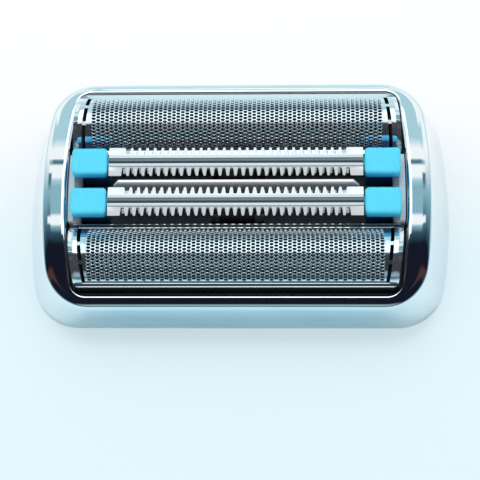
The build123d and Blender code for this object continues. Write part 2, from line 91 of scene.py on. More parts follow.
# Foils: fine perforated sheet with hook tongues at its ends; S runs round its arch. Holes, and the cells
# that they stand in, are hexagons: half lengths of their flats and from point to point, half height
FOIL_RADIUS = 4.2
FOIL_HALF_ANGLE = math.radians(72.5)
FOIL_THICKNESS = 0.15
FOIL_LEG = 1.8
FOIL_HALF_LENGTH = 21.783
HOLE_PITCH_X = 0.633
HOLE_PITCH_S = 0.487
HOLE_COLUMNS = 65
HOLE_ROWS = 20
CELL_FLAT = 0.215
CELL_POINT = HOLE_PITCH_X - CELL_FLAT
HOLE_FLAT = 0.185
HOLE_POINT = 0.365
HOLE_HALF_S = 0.202
HOLE_LIP = 0.045
# Depth under the foil's outer face past which shade is painted
FOIL_SHADE_DEPTH = 0.09
FOIL_AXIS_HEIGHT = 10.2
FOIL_Y = 9.816
BEND_HALF_WIDTH = 0.05
END_SHARES = (0, 0.4, 0.8, 1)
TONGUE_WIDTH = 0.55
TONGUE_LENGTH = 0.5
TONGUE_INSET = 0.01
TONGUE_ANGLES = (25.0, -12.0)

# Foil frames: zones of the rails beside a foil, with a painted dark reflection on the front frame's rails,
# and the height below which shade is painted on them
RAIL_MIDDLE = 4.305
RAIL_HALF_WIDTH = 0.2
REAR_RAIL_HALF_WIDTH = 0.3
FOIL_FRAME_SHADE_TOP = 11.3

# Trimmers: zones of the guards' backs, where shade is painted in the groove and along the front fold, and of
# the caps' heads, where shade is painted down the sides and below
TRIMMER_Y = 2.93
GROOVE_HALF_WIDTH = 0.375
SHADED_BANK_HALF_WIDTH = 0.18
RAIL_EDGE = 0.85
SHADED_FOLD_HALF_WIDTH = 0.09
CAP_HEAD_BOTTOM = 13.16
CAP_SIDE_SHADE_TOP = 14.2
CAP_ROLL = 0.55

# End plates: the top of their slopes, just under their crests; light is painted on the slopes below it
END_PLATE_SLOPE_TOP = 11.85

# Leaf springs: bowed strips under the foils, across the head, and under the caps, along it
SPRING_BASE = 5.471
SPRING_CROWN = 6.671
SPRING_THICKNESS = 0.15
SPRING_HALF_WIDTH = 0.8
SPRING_FOOT = 0.7
SPRING_CROWN_HALF = 0.35
FOIL_SPRING_X = 20.80
FOIL_SPRING_HALF_LENGTH = 3.0
TRIMMER_SPRING_X = 20.133
TRIMMER_SPRING_HALF_LENGTH = 1.6

# Shading: angles in degrees past which edges stay sharp
FRAME_SHARP_PAST = 50
FOIL_SHARP_PAST = 35
SPRING_SHARP_PAST = 40
NODE_SHARP_PAST = 38

# Edges of the CAD nodes: the angle in degrees past which they are rounded, and widths by how a name starts
WELD_REACH = 0.0005
ROUNDED_PAST = 35
EDGE_WIDTHS = {
    "trimmer_cap": 0.17,
    "trimmer_guard": 0.05,
    "trimmer_comb": 0.03,
    "foil_frame": 0.10,
    "skin_guard": 0.06,
    "end_plate": 0.12,
    "chassis": 0.10,
}

# Grain: the part of the noise that is spread over a finish, and a moulding's cells per millimetre
NOISE_SPAN = (0.3, 0.7)
MOULDING_CELLS = (5.0, 5.0, 5.0)

# Light: soft from all round, a key lamp, and a softbox that spans a stretch of Y
SOFT_LIGHT = 0.80
SOFT_COLOR = (0.93, 0.98, 1.0)
KEY_POWER = 0.18
KEY_PLACE = (-20, 85, 320)
KEY_SIZE = (60, 60)
SOFTBOX_HEIGHT = 150.0
SOFTBOX_WIDTH = 78.0
SOFTBOX_X = -6.0
SOFTBOX_SPAN = (-2.0, 180.0)

# Camera, fitted to the photograph
CAMERA_ELEVATION = math.radians(72.47)
CAMERA_TURN = math.radians(2.271)
CAMERA_ROLL = math.radians(-0.088)
CAMERA_DISTANCE = 210.1
CAMERA_AIM = (0.491, -6.806, 9.0)
CAMERA_NEAR = 10.0
CAMERA_FOCAL_PIXELS = 1484.45
IMAGE_PIXELS = 480
SENSOR_WIDTH = 36.0


def mesh_object(name, verts, faces, sharp_angle=None):
    """Smooth-shaded object from points in millimetres, its edges sharp past an angle."""
    mesh = bpy.data.meshes.new(name)
    mesh.from_pydata([[c * MM for c in v] for v in verts], [], faces)
    work = bmesh.new()
    work.from_mesh(mesh)
    bmesh.ops.recalc_face_normals(work, faces=work.faces)
    for face in work.faces:
        face.smooth = True
    if sharp_angle is not None:
        for edge in work.edges:
            edge.smooth = len(edge.link_faces) == 2 and edge.calc_face_angle() < math.radians(sharp_angle)
    work.to_mesh(mesh)
    work.free()
    made = bpy.data.objects.new(name, mesh)
    bpy.context.scene.collection.objects.link(made)
    return made


def stands_for(made, body, node):
    """Puts a new piece on its body in place of a CAD node."""
    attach(made, body)
    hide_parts(node)
    return made


# Outer frame

def stations(side_steps=24, corner_steps=20, end_steps=18):
    """Places round an outline, clockwise from the middle of the rear side: signs, stretch, share of it."""
    quarter = [("side", i / side_steps) for i in range(side_steps)]
    quarter += [("corner", i / corner_steps) for i in range(corner_steps)]
    quarter += [("end", i / end_steps) for i in range(end_steps + 1)]
    for x, y, order in ((1, 1, 1), (1, -1, -1), (-1, -1, 1), (-1, 1, -1)):
        for stretch, share in quarter[::order][:-1]:
            yield x, y, stretch, share


def outline_point(station, half_length, half_width, end_radius, corner):
    """Point and outward direction of a plan outline with straight sides, bulged ends and round corners."""
    sign_x, sign_y, stretch, share = station
    end_x = half_length - end_radius
    corner_y = half_width - corner
    corner_x = end_x + math.sqrt((end_radius - corner) ** 2 - corner_y**2)
    turn = math.atan2(corner_y, corner_x - end_x)
    if stretch == "side":
        point, out = (corner_x * share, half_width), (0.0, 1.0)
    elif stretch == "corner":
        angle = math.pi / 2 + (turn - math.pi / 2) * share
        out = (math.cos(angle), math.sin(angle))
        point = (corner_x + corner * out[0], corner_y + corner * out[1])
    else:
        angle = turn * (1 - share)
        out = (math.cos(angle), math.sin(angle))
        point = (end_x + end_radius * out[0], end_radius * out[1])
    return (point[0] * sign_x, point[1] * sign_y), (out[0] * sign_x, out[1] * sign_y)


def brim_point(station):
    """Point of the roof's opening."""
    return outline_point(station, OPENING_HALF_LENGTH, OPENING_HALF_WIDTH, OPENING_END_RADIUS, OPENING_CORNER)


def wall_point(station, z, inset=0.0):
    """Point of the flared wall at a height."""
    end = SKIRT_FLARE_END * z / WALL_HEIGHT + inset
    side = SKIRT_FLARE_SIDE * z / WALL_HEIGHT + inset
    half_length, half_width = frame_top.x / MM - end, frame_top.y / MM - side
    return outline_point(station, half_length, half_width, WALL_END_RADIUS - end, WALL_CORNER - inset)


def roof_height(y, drop=0.0):
    """Height of the arched roof at a distance from the middle line."""
    return frame_top.z / MM - drop - ROOF_RADIUS + math.sqrt(ROOF_RADIUS**2 - y * y)


def wall_and_roof(station, inset, drop, rounds=6, rise=0.1):
    """Where the wall meets the roof at a station: plan point, height, outward direction, wall lean."""
    z = roof_height(0, drop)
    for _ in range(rounds):
        point, out = wall_point(station, z, inset)
        z = roof_height(point[1], drop)
    above = wall_point(station, z + rise, inset)[0]
    lean = -((above[0] - point[0]) * out[0] + (above[1] - point[1]) * out[1]) / rise
    return point, z, out, lean


def rim_arc(station):
    """Points of the rounded rim at a station, from the roof down to the wall."""
    point, z, out, lean = wall_and_roof(station, 0, 0)
    slope = -point[1] / math.sqrt(ROOF_RADIUS**2 - point[1] ** 2) * out[1]
    down = Vector((lean, -1)).normalized()
    inward = Vector((-1, -slope)).normalized()
    half = down.angle(inward) / 2
    centre = (down + inward).normalized() * RIM_FILLET / math.sin(half)
    first = inward * RIM_FILLET / math.tan(half) - centre
    last = down * RIM_FILLET / math.tan(half) - centre
    sweep = first.angle(last)
    arc = []
    for i in range(RIM_STEPS + 1):
        share = i / RIM_STEPS
        a = math.sin((1 - share) * sweep) / math.sin(sweep)
        b = math.sin(share * sweep) / math.sin(sweep)
        h, dz = centre + first * a + last * b
        arc.append((point[0] + out[0] * h, point[1] + out[1] * h, z + dz))
    return arc


def between(a, b, steps):
    """Points from a to b, without a."""
    return [tuple(p + (q - p) * i / steps for p, q in zip(a, b)) for i in range(1, steps + 1)]


def frame_section(station):
    """Closed section of the frame at a station, from the brim of the opening round to its foot and back."""
    (x, y), (nx, ny) = brim_point(station)
    top = roof_height(y)
    section = [(x, y, top - ROOF_THICKNESS), (x, y, top - ROOF_THICKNESS / 2)]
    for i in range(OPENING_EDGE_STEPS + 1):
        angle = math.pi / 2 * i / OPENING_EDGE_STEPS
        out, up = OPENING_EDGE * (1 - math.cos(angle)), OPENING_EDGE * (math.sin(angle) - 1)
        section.append((x + nx * out, y + ny * out, roof_height(y + ny * out) + up))
    arc = rim_arc(station)
    for px, py, _ in between(section[-1], arc[0], ROOF_STEPS)[:-1]:
        section.append((px, py, roof_height(py)))
    section.extend(arc)
    (fx, fy), (gx, gy) = wall_point(station, 0)
    lean = math.hypot(fx - arc[-1][0], fy - arc[-1][1]) / arc[-1][2]
    foot = (fx - gx * lean * FOOT_EDGE, fy - gy * lean * FOOT_EDGE, FOOT_EDGE)
    section.extend(between(arc[-1], foot, WALL_STEPS))
    section.append((fx - gx * FOOT_EDGE, fy - gy * FOOT_EDGE, 0))
    inner_foot = (fx - gx * WALL_THICKNESS, fy - gy * WALL_THICKNESS, 0)
    section.append(inner_foot)
    point, z, _, _ = wall_and_roof(station, WALL_THICKNESS, ROOF_THICKNESS)
    section.extend(between(inner_foot, (*point, z), INNER_WALL_STEPS))
    for px, py, _ in between((*point, z), section[0], INNER_ROOF_STEPS)[:-1]:
        section.append((px, py, roof_height(py, ROOF_THICKNESS)))
    return section


def outer_frame():
    """Plated frame as one smooth skin, with a catch rib inside each end."""
    sections = [frame_section(station) for station in stations()]
    count, size = len(sections), len(sections[0])
    verts = [p for section in sections for p in section]
    faces = []
    for i in range(count):
        for k in range(size):
            a, b = i * size, (i + 1) % count * size
            faces.append((a + k, b + k, b + (k + 1) % size, a + (k + 1) % size))
    reach, width, height = CATCH_SIZE
    foot = frame_top.x / MM - SKIRT_FLARE_END * CATCH_FOOT / WALL_HEIGHT
    for side in (-1, 1):
        tip = foot - WALL_THICKNESS / 2
        low = (side * (tip - reach), -width / 2, CATCH_FOOT)
        high = (side * tip, width / 2, CATCH_FOOT + height)
        add_block(verts, faces, low, high)
    made = mesh_object("frame_shell", verts, faces, FRAME_SHARP_PAST)
    return stands_for(made, "frame", "outer_frame")


def add_block(verts, faces, low, high):
    """Adds a plain block between two corners to lists of points and faces."""
    first = len(verts)
    verts.extend((x, y, z) for x in (low[0], high[0]) for y in (low[1], high[1]) for z in (low[2], high[2]))
    quads = ((0, 1, 3, 2), (4, 6, 7, 5), (0, 4, 5, 1), (2, 3, 7, 6), (0, 2, 6, 4), (1, 5, 7, 3))
    faces.extend(tuple(first + i for i in quad) for quad in quads)


# Foils

class Sheet:
    """Sheet bent to an arch with a straight leg at each long edge, drawn flat in (x, s, depth)."""

    def __init__(self, node, side):
        low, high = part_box(node)
        self.axis_y = (low.y + high.y) / 2 / MM
        self.axis_z = high.z / MM - FOIL_RADIUS
        self.side = side
        self.keys = {}
        self.verts = []
        self.faces = []

    def place(self, x, s, depth):
        """Point in space of a point on the flat sheet; s runs from the inner edge to the outer one."""
        radius = FOIL_RADIUS - depth
        reach = FOIL_RADIUS * FOIL_HALF_ANGLE
        angle = max(-reach, min(reach, s)) / FOIL_RADIUS
        drop = max(abs(s) - reach, 0)
        y = self.axis_y + self.side * radius * math.sin(angle)
        return x, y, self.axis_z + radius * math.cos(angle) - drop

    def point(self, x, s, depth=0.0):
        """Number of a point of the sheet, made once for all patches that share it."""
        key = (round(x, 4), round(s, 4), round(depth, 4))
        if key not in self.keys:
            self.keys[key] = len(self.verts)
            self.verts.append(self.place(x, s, depth))
        return self.keys[key]

    def patch(self, corners, depth=0.0):
        """Patch of the sheet at one depth."""
        self.faces.append(tuple(self.point(x, s, depth) for x, s in corners))

    def both(self, corners):
        """The same patch on the outside and the inside of the sheet."""
        self.patch(corners)
        self.patch(corners, FOIL_THICKNESS)

    def rim(self, edge):
        """Patch through the thickness of the sheet along an edge."""
        outside, inside = ([self.point(*p, depth) for p in edge] for depth in (0.0, FOIL_THICKNESS))
        self.faces.append((*outside, *reversed(inside)))

    def ring(self, outer, inner, depths):
        """Strip of patches between two loops of points, each loop at its depth."""
        first, second = depths
        for i in range(len(outer)):
            j = (i + 1) % len(outer)
            loop = [(outer[i], first), (outer[j], first), (inner[j], second), (inner[i], second)]
            self.faces.append(tuple(self.point(*p, depth) for p, depth in loop))

    def end_x(self, s):
        """Where the sheet ends at s, on the head's end arc."""
        y = self.place(0, s, 0)[1]
        return FOIL_HALF_LENGTH - OPENING_END_RADIUS + math.sqrt(OPENING_END_RADIUS**2 - y * y)

    def margin_x(self, share, s):
        """Place between the field of holes and the sheet's end at s."""
        return FIELD_HALF + (self.end_x(s) - FIELD_HALF) * share


def hexagon(x, s, flat, point, half):
    """Corners and mid-sides of a hexagon with level flats, about a centre."""
    over = [(point, 0), (flat, half), (0, half), (-flat, half)]
    loop = over + [(-u, -v) for u, v in over]
    return [(x + u, s + v) for u, v in loop]


def hole_cell(sheet, x, s):
    """Six-sided cell of sheet round one hole, whose edges its neighbours share."""
    border = hexagon(x, s, CELL_FLAT, CELL_POINT, HOLE_PITCH_S / 2)
    shrink = 1 - HOLE_LIP / HOLE_HALF_S
    brink = hexagon(x, s, HOLE_FLAT, HOLE_POINT, HOLE_HALF_S)
    throat = hexagon(x, s, HOLE_FLAT * shrink, HOLE_POINT * shrink, HOLE_HALF_S * shrink)
    sheet.ring(border, brink, (0, 0))
    sheet.ring(brink, throat, (0, HOLE_LIP))
    sheet.ring(throat, throat, (HOLE_LIP, FOIL_THICKNESS))
    sheet.ring(border, throat, (FOIL_THICKNESS, FOIL_THICKNESS))


def column_x(column):
    """Middle of a column of holes."""
    return (column - (HOLE_COLUMNS - 1) / 2) * HOLE_PITCH_X


FIELD_TOP = HOLE_ROWS * HOLE_PITCH_S / 2
FIELD_HALF = column_x(HOLE_COLUMNS - 1) + CELL_POINT
ROW_PLACES = [(row - (HOLE_ROWS - 1) / 2) * HOLE_PITCH_S for row in range(HOLE_ROWS)]


def perforated_field(sheet):
    """All holes, in columns that stand half a row off each other, and the teeth left at the field's edges."""
    half_row = HOLE_PITCH_S / 2
    for column in range(HOLE_COLUMNS):
        x = column_x(column)
        if column % 2:
            places = [s + half_row for s in ROW_PLACES[:-1]]
            for edge in (-1, 1):
                low, high = edge * (FIELD_TOP - half_row), edge * FIELD_TOP
                foot = [(x - CELL_FLAT, low), (x, low), (x + CELL_FLAT, low)]
                sheet.both(foot + [(x + CELL_POINT, high), (x - CELL_POINT, high)])
        else:
            places = ROW_PLACES
        for s in places:
            hole_cell(sheet, x, s)
    tip, notch = FIELD_HALF, FIELD_HALF - CELL_POINT + CELL_FLAT
    levels = [-FIELD_TOP] + ROW_PLACES + [FIELD_TOP]
    for end in (-1, 1):
        for low, high in zip(levels, levels[1:]):
            dent = low if low == -FIELD_TOP else high if high == FIELD_TOP else (low + high) / 2
            sheet.both([(end * notch, dent), (end * tip, low), (end * tip, high)])


def plain_borders(sheet):
    """Unperforated margins: a strip and a leg along each long edge, and the ends."""
    reach = FOIL_RADIUS * FOIL_HALF_ANGLE
    levels = [FIELD_TOP, (FIELD_TOP + reach) / 2, reach - BEND_HALF_WIDTH, reach + BEND_HALF_WIDTH]
    levels += [reach + FOIL_LEG / 2, reach + FOIL_LEG]
    xs = [column_x(c) + u for c in range(0, HOLE_COLUMNS, 2) for u in (-CELL_FLAT, 0, CELL_FLAT)]
    xs = [-FIELD_HALF] + xs + [FIELD_HALF]
    for edge in (-1, 1):
        for low, high in zip(levels, levels[1:]):
            for u, v in zip(xs, xs[1:]):
                sheet.both([(u, edge * low), (v, edge * low), (v, edge * high), (u, edge * high)])
    ss = [-s for s in reversed(levels)] + ROW_PLACES + levels
    for end in (-1, 1):
        for low, high in zip(ss, ss[1:]):
            for u, v in zip(END_SHARES, END_SHARES[1:]):
                corners = ((u, low), (v, low), (v, high), (u, high))
                sheet.both([(end * sheet.margin_x(share, s), s) for share, s in corners])
            sheet.rim([(end * sheet.margin_x(1, s), s) for s in (low, high)])
    for edge in (-1, 1):
        s = edge * levels[-1]
        ends = [sheet.margin_x(share, s) for share in END_SHARES[1:]]
        line = [-x for x in reversed(ends)] + xs + ends
        for u, v in zip(line, line[1:]):
            sheet.rim([(u, s), (v, s)])


def tongues(sheet):
    """Two small hooks at each end, which hold the sheet to its cheeks."""
    for angle in TONGUE_ANGLES:
        middle = math.radians(angle) * FOIL_RADIUS
        low, high = middle - TONGUE_WIDTH / 2, middle + TONGUE_WIDTH / 2
        root, tip = sheet.end_x(middle) - TONGUE_LENGTH / 2, sheet.end_x(middle) + TONGUE_LENGTH
        for end in (-1, 1):
            corners = [(end * root, low), (end * tip, low), (end * tip, high), (end * root, high)]
            first = len(sheet.verts)
            for depth in (TONGUE_INSET, FOIL_THICKNESS - TONGUE_INSET):
                sheet.verts.extend(sheet.place(x, s, depth) for x, s in corners)
            loops = [(0, 1, 2, 3), (7, 6, 5, 4)]
            loops += [(i, (i + 1) % 4, (i + 1) % 4 + 4, i + 4) for i in range(4)]
            sheet.faces.extend(tuple(first + i for i in loop) for loop in loops)


def foil(row, side):
    """Perforated foil of one row."""
    sheet = Sheet("foil_" + row, side)
    perforated_field(sheet)
    plain_borders(sheet)
    tongues(sheet)
    made = mesh_object("foil_sheet_" + row, sheet.verts, sheet.faces, FOIL_SHARP_PAST)
    return stands_for(made, "foil_unit_" + row, "foil_" + row)


# Springs

def spring_strip(verts, faces, place, half_length, steps=8):
    """Adds a bowed strip with flat feet and a flat crown; place turns (along, across, z) into a point."""
    rise = half_length - SPRING_FOOT - SPRING_CROWN_HALF
    line = [(half_length, 0.0)]
    for i in range(steps + 1):
        share = i / steps
        line.append((half_length - SPRING_FOOT - rise * share, share * share * (3 - 2 * share)))
    line += [(-along, lift) for along, lift in reversed(line)]
    first = len(verts)
    for along, lift in line:
        top = SPRING_BASE + SPRING_THICKNESS + (SPRING_CROWN - SPRING_BASE - SPRING_THICKNESS) * lift
        for across, z in ((1, top), (-1, top), (-1, top - SPRING_THICKNESS), (1, top - SPRING_THICKNESS)):
            verts.append(place(along, across * SPRING_HALF_WIDTH, z))
    last = len(verts) - 4
    faces.append(tuple(range(first, first + 4)))
    faces.append(tuple(range(last, last + 4)))
    for at in range(first, last, 4):
        faces.extend((at + k, at + (k + 1) % 4, at + 4 + (k + 1) % 4, at + 4 + k) for k in range(4))


def springs(row, side):
    """The leaf springs under a foil and under a trimmer of one row."""
    def under_foil(end, along, across, z):
        return end * FOIL_SPRING_X + across, side * FOIL_Y + along, z

    def under_cap(end, along, across, z):
        return end * TRIMMER_SPRING_X + along, side * TRIMMER_Y + across, z

    made = []
    for unit, place, half_length in (
        ("foil", under_foil, FOIL_SPRING_HALF_LENGTH),
        ("trimmer", under_cap, TRIMMER_SPRING_HALF_LENGTH),
    ):
        verts, faces = [], []
        for end in (-1, 1):
            spring_strip(verts, faces, partial(place, end), half_length)
        strips = mesh_object(f"{unit}_strips_{row}", verts, faces, SPRING_SHARP_PAST)
        stands_for(strips, "frame", f"{unit}_springs_{row}")
        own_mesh(strips)
        made.append(strips)
    return made


# Node helpers

def calc(tree, operation, *values):
    """Math node on sockets and plain numbers."""
    node = tree.nodes.new("ShaderNodeMath")
    node.operation = operation
    for socket, value in zip(node.inputs, values):
        if isinstance(value, float):
            socket.default_value = value
        else:
            tree.links.new(value, socket)
    return node.outputs["Value"]


def remap(tree, value, span, low=0.0, high=1.0, interpolation="LINEAR"):
    """Turns a value that runs over a span into a range, held at its ends."""
    node = tree.nodes.new("ShaderNodeMapRange")
    node.interpolation_type = interpolation
    for name, end in zip(("From Min", "From Max", "To Min", "To Max"), (*span, low, high)):
        node.inputs[name].default_value = end
    tree.links.new(value, node.inputs["Value"])
    return node.outputs["Result"]


def crossfade(tree, value, span, first, second):
    """Goes from one colour to another as a value runs over a span."""
    mix = tree.nodes.new("ShaderNodeMix")
    mix.data_type = "RGBA"
    tree.links.new(remap(tree, value, span, interpolation="SMOOTHSTEP"), mix.inputs["Factor"])
    tree.links.new(first, mix.inputs["A"])
    tree.links.new(second, mix.inputs["B"])
    return mix.outputs["Result"]


def color_run(tree, value, span, stops):
    """Colours along a value, whose stops lie within a span."""
    node = tree.nodes.new("ShaderNodeValToRGB")
    ramp = node.color_ramp
    while len(ramp.elements) < len(stops):
        ramp.elements.new(0.5)
    for element, (at, color) in zip(ramp.elements, stops):
        element.position = (at - span[0]) / (span[1] - span[0])
        element.color = (*color, 1)
    tree.links.new(remap(tree, value, span), node.inputs["Fac"])
    return node.outputs["Color"]


def along_axis(made, axis, *middles):
    """Place along an axis of the object in metres, folded in turn about middles given in millimetres."""
    tree = made.node_tree
    place = tree.nodes.new("ShaderNodeTexCoord")
    axes = tree.nodes.new("ShaderNodeSeparateXYZ")
    tree.links.new(place.outputs["Object"], axes.inputs["Vector"])
    value = axes.outputs[axis]
    for middle in middles:
        value = calc(tree, "ABSOLUTE", calc(tree, "SUBTRACT", value, middle * MM))
    return value


# Materials

def new_material(name, color, metallic, roughness):
    """Principled material and its shader node."""
    made = bpy.data.materials.new(name)
    made.use_nodes = True
    shader = made.node_tree.nodes["Principled BSDF"]
    shader.inputs["Base Color"].default_value = (*color, 1)
    shader.inputs["Metallic"].default_value = metallic
    shader.inputs["Roughness"].default_value = roughness
    return made, shader


def grain(made, stretch, detail):
    """Noise over the object, stretched per axis in cells per millimetre."""
    tree = made.node_tree
    place = tree.nodes.new("ShaderNodeTexCoord")
    scale = tree.nodes.new("ShaderNodeMapping")
    scale.inputs["Scale"].default_value = [s / MM for s in stretch]
    noise = tree.nodes.new("ShaderNodeTexNoise")
    noise.inputs["Scale"].default_value = 1.0
    noise.inputs["Detail"].default_value = detail
    tree.links.new(place.outputs["Object"], scale.inputs["Vector"])
    tree.links.new(scale.outputs["Vector"], noise.inputs["Vector"])
    return noise.outputs["Fac"]


def tint(made, source, dark, light):
    """Mixes two colours by a noise value."""
    tree = made.node_tree
    node = tree.nodes.new("ShaderNodeMix")
    node.data_type = "RGBA"
    node.inputs["A"].default_value = (*dark, 1)
    node.inputs["B"].default_value = (*light, 1)
    tree.links.new(remap(tree, source, NOISE_SPAN), node.inputs["Factor"])
    return node.outputs["Result"]


def bump(made, shader, source, height):
    """Fine relief from a noise value, its height in millimetres."""
    tree = made.node_tree
    node = tree.nodes.new("ShaderNodeBump")
    node.inputs["Distance"].default_value = height * MM
    tree.links.new(source, node.inputs["Height"])
    tree.links.new(node.outputs["Normal"], shader.inputs["Normal"])


def grained(name, dark, light, rough, stretch, relief, detail=4.0, metallic=1.0):
    """Material whose grain varies its colour, gloss and surface; metal, unless metallic says otherwise."""
    made, shader = new_material(name, light, metallic, rough[0])
    tree = made.node_tree
    source = grain(made, stretch, detail)
    tree.links.new(tint(made, source, dark, light), shader.inputs["Base Color"])
    tree.links.new(remap(tree, source, NOISE_SPAN, *rough), shader.inputs["Roughness"])
    bump(made, shader, source, relief)
    return made


def moulding(name, dark, light, rough, relief):
    """Moulded plastic with a fine spark-eroded grain."""
    return grained(name, dark, light, rough, MOULDING_CELLS, relief, detail=3.0, metallic=0.0)


def override_below(made, limits, color, rough, metallic=0.0, soft=0.03):
    """Gives a material another colour, roughness and metalness where each place along an axis is below its
    limit; the scene uses it for painted light and shade, and for the guards' greyer rails.
    """
    tree = made.node_tree
    shader = tree.nodes["Principled BSDF"]
    share = None
    for value, limit in limits:
        inside = remap(tree, value, ((limit + soft) * MM, (limit - soft) * MM))
        share = inside if share is None else calc(tree, "MULTIPLY", share, inside)
    for name, other in (("Base Color", (*color, 1)), ("Roughness", rough), ("Metallic", metallic)):
        plain = shader.inputs[name]
        mix = tree.nodes.new("ShaderNodeMix")
        mix.data_type = "RGBA" if name == "Base Color" else "FLOAT"
        first, second = [s for s in mix.inputs if s.enabled and s.name in "AB"]
        second.default_value = other
        if plain.links:
            tree.links.new(plain.links[0].from_socket, first)
        else:
            first.default_value = plain.default_value
        tree.links.new(share, mix.inputs["Factor"])
        tree.links.new([s for s in mix.outputs if s.enabled][0], plain)


def grooved_steel():
    """Guard steel: greyer rails along its back, painted shade in two tones in the groove between them, and a
    line of painted shade at its front fold.
    """
    made = grained(
        "guard steel",
        dark=(0.86, 0.91, 0.94),
        light=(0.96, 0.98, 0.99),
        rough=(0.16, 0.28),
        stretch=(0.3, 8.0, 8.0),
        relief=0.003,
        metallic=0.3,
    )
    across = along_axis(made, "Y", 0.0, TRIMMER_Y)
    override_below(made, [(across, RAIL_EDGE)], (0.56, 0.63, 0.67), rough=0.25, metallic=0.3, soft=0.06)
    # painted shade: the groove between the rails is near black
    override_below(made, [(across, GROOVE_HALF_WIDTH)], (0.03, 0.042, 0.05), rough=0.5, metallic=0.3)
    for middle in (-TRIMMER_Y, TRIMMER_Y):
        fold = along_axis(made, "Y", middle - RAIL_EDGE)
        bank = along_axis(made, "Y", middle + GROOVE_HALF_WIDTH / 2)
        # painted shade: a dark line along each front fold, and a lighter second tone of shade along one bank
        # of each groove
        override_below(made, [(fold, SHADED_FOLD_HALF_WIDTH)], (0.27, 0.34, 0.37), rough=0.4, metallic=0.3, soft=0.04)
        override_below(made, [(bank, SHADED_BANK_HALF_WIDTH)], (0.16, 0.21, 0.23), rough=0.4, metallic=0.3, soft=0.05)
    return made


def rim_chrome():
    """Chrome plate of the frame, with painted light on the rear wall of its opening, which is pale and dull
    there.
    """
    made = grained(
        "chrome plate",
        dark=(0.86, 0.90, 0.92),
        light=(0.93, 0.96, 0.97),
        rough=(0.015, 0.035),
        stretch=(0.15, 0.15, 0.15),
        relief=0.0015,
        detail=2.0,
    )
    wall = along_axis(made, "Y", OPENING_HALF_WIDTH)
    limits = [(wall, REAR_WALL_LIGHT_REACH), (along_axis(made, "Z"), REAR_WALL_LIGHT_TOP)]
    # painted light: a pale, dull patch low on the rear wall of the opening
    override_below(made, limits, (0.80, 0.93, 0.98), rough=0.6)
    return made


def foil_steel():
    """Foil steel, with painted shade on the inside and deep in the holes."""
    made = grained(
        "foil steel",
        dark=(0.74, 0.86, 0.93),
        light=(0.86, 0.96, 1.0),
        rough=(0.09, 0.16),
        stretch=(1.5, 1.5, 1.5),
        relief=0.003,
        metallic=0.97,
    )
    tree = made.node_tree
    join = tree.nodes.new("ShaderNodeCombineXYZ")
    reach = tree.nodes.new("ShaderNodeVectorMath")
    reach.operation = "LENGTH"
    tree.links.new(along_axis(made, "Y", 0.0, FOIL_Y), join.inputs["X"])
    tree.links.new(along_axis(made, "Z", FOIL_AXIS_HEIGHT), join.inputs["Y"])
    tree.links.new(join.outputs["Vector"], reach.inputs[0])
    limits = [(reach.outputs["Value"], FOIL_RADIUS - FOIL_SHADE_DEPTH)]
    # painted shade: near black on the sheet's inside and deep in its holes
    override_below(made, limits, (0.006, 0.010, 0.018), rough=0.6, soft=0.02)
    return made


def railed_plate():
    """Plating of the foil frames: painted shade inside, a painted dark reflection on the front one's rails,
    greyer on the rearmost rail.
    """
    made = grained(
        "plated cheek",
        dark=(0.78, 0.86, 0.89),
        light=(0.85, 0.92, 0.95),
        rough=(0.06, 0.11),
        stretch=(0.4, 0.4, 0.4),
        relief=0.0006,
        detail=2.0,
        metallic=0.95,
    )
    front = along_axis(made, "Y", -FOIL_Y, RAIL_MIDDLE)
    rearmost = along_axis(made, "Y", FOIL_Y + RAIL_MIDDLE)
    height = along_axis(made, "Z")
    # painted dark reflection on the rails of the front frame
    override_below(made, [(front, RAIL_HALF_WIDTH)], (0.02, 0.026, 0.03), rough=0.4)
    override_below(made, [(rearmost, REAR_RAIL_HALF_WIDTH)], (0.35, 0.45, 0.47), rough=0.1, metallic=0.95)
    # painted shade: dark inside the frames, below their shade top
    override_below(made, [(height, FOIL_FRAME_SHADE_TOP)], (0.010, 0.014, 0.02), rough=0.5)
    return made


def sloped_plate():
    """Satin plate of the ends, with painted light on the slopes under the caps, which lifts the shade there.
    """
    made = grained(
        "satin plate",
        dark=(0.52, 0.66, 0.72),
        light=(0.62, 0.75, 0.81),
        rough=(0.38, 0.50),
        stretch=(0.4, 6.0, 6.0),
        relief=0.004,
        metallic=0.35,
    )
    # painted light: paler on the slopes, which lie in the caps' shade
    override_below(made, [(along_axis(made, "Z"), END_PLATE_SLOPE_TOP)], (0.90, 0.97, 1.0), rough=0.5, soft=0.15)
    return made


def headed_blue():
    """Blue moulding of the caps, with painted shade: deeper blue down the sides of their heads, and dark
    below them.
    """
    made = moulding(
        "blue moulding",
        dark=(0.083, 0.65, 0.93),
        light=(0.112, 0.74, 0.98),
        rough=(0.38, 0.50),
        relief=0.006,
    )
    tree = made.node_tree
    shader = tree.nodes["Principled BSDF"]
    shader.inputs["Subsurface Weight"].default_value = 0.5
    shader.inputs["Subsurface Radius"].default_value = (0.2, 0.6, 0.8)
    shader.inputs["Subsurface Scale"].default_value = 1.2 * MM
    rolled = tree.nodes.new("ShaderNodeBevel")
    rolled.samples = 8
    rolled.inputs["Radius"].default_value = CAP_ROLL * MM
    tree.links.new(rolled.outputs["Normal"], tree.nodes["Bump"].inputs["Normal"])
    height = along_axis(made, "Z")
    # painted shade: deeper blue down the sides of the heads, and dark below the heads
    override_below(made, [(height, CAP_SIDE_SHADE_TOP)], (0.03, 0.52, 1.0), rough=0.45, soft=0.6)
    override_below(made, [(height, CAP_HEAD_BOTTOM)], (0.012, 0.12, 0.34), rough=0.5, soft=0.35)
    return made


